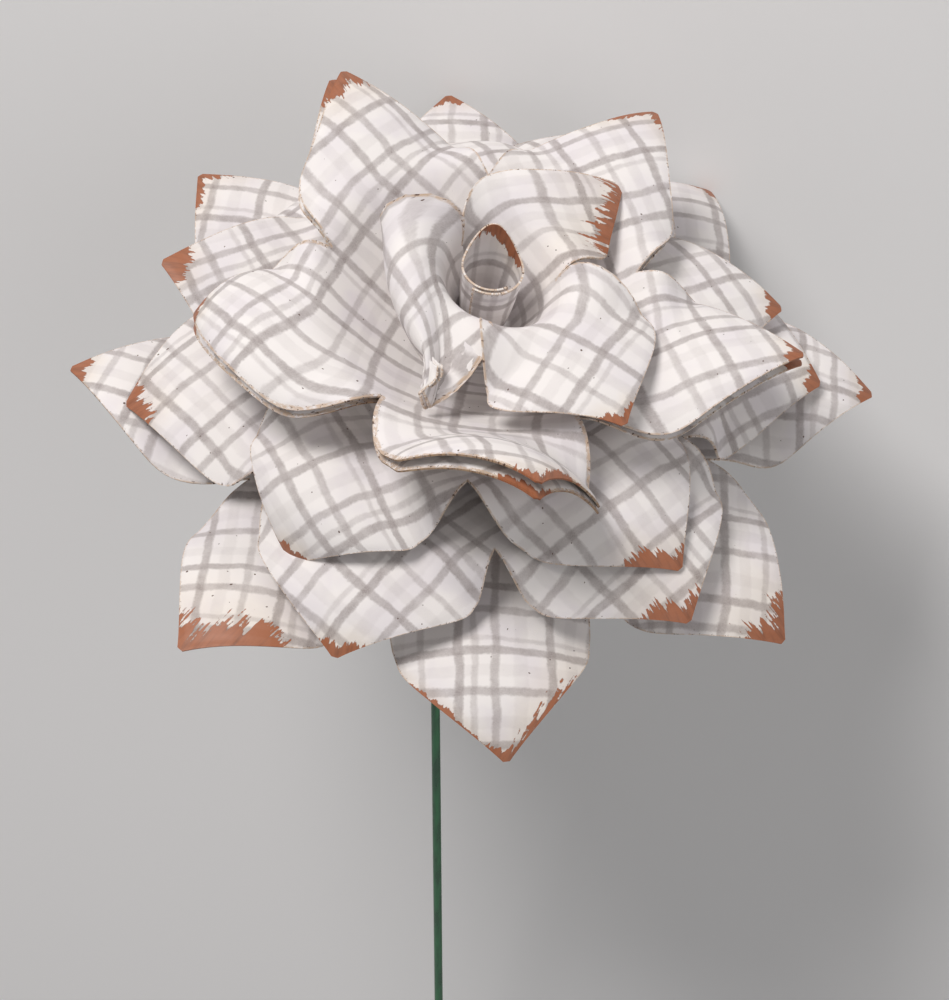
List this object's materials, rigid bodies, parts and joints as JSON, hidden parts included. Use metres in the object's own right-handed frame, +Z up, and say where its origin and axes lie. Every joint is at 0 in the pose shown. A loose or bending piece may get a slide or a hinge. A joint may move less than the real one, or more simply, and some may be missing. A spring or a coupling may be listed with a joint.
{
  "type": "paper flower",
  "caption": "Stemmed flower of nested cut-paper layers with bent pointed petals and a rolled centre.",
  "frame": {"origin": "centre of the bounding box in X and Y, on the ground that the flower lies on", "axes": "+Z up from the ground, +Y from the stem's end towards the flower head, +X to the right of a viewer who looks along +Y"},
  "size_m": [0.1178, 0.2846, 0.1022],
  "materials": {
    "plaid_paper": "white paper with a soft grey plaid print, thin tan edges and copper-brown painted tips",
    "green_wire": "glossy dark green coat on a steel wire",
    "set_glue": "cloudy cream-white hot glue"
  },
  "bodies": {
    "root": {"outer_sheet": "plaid_paper", "lower_ring": "plaid_paper", "middle_ring": "plaid_paper", "under_ring": "plaid_paper", "upper_ring": "plaid_paper", "inner_ring": "plaid_paper", "centre_roll": "plaid_paper", "stem_wire": "green_wire", "glue_dab": "set_glue"}
  },
  "joints": []
}
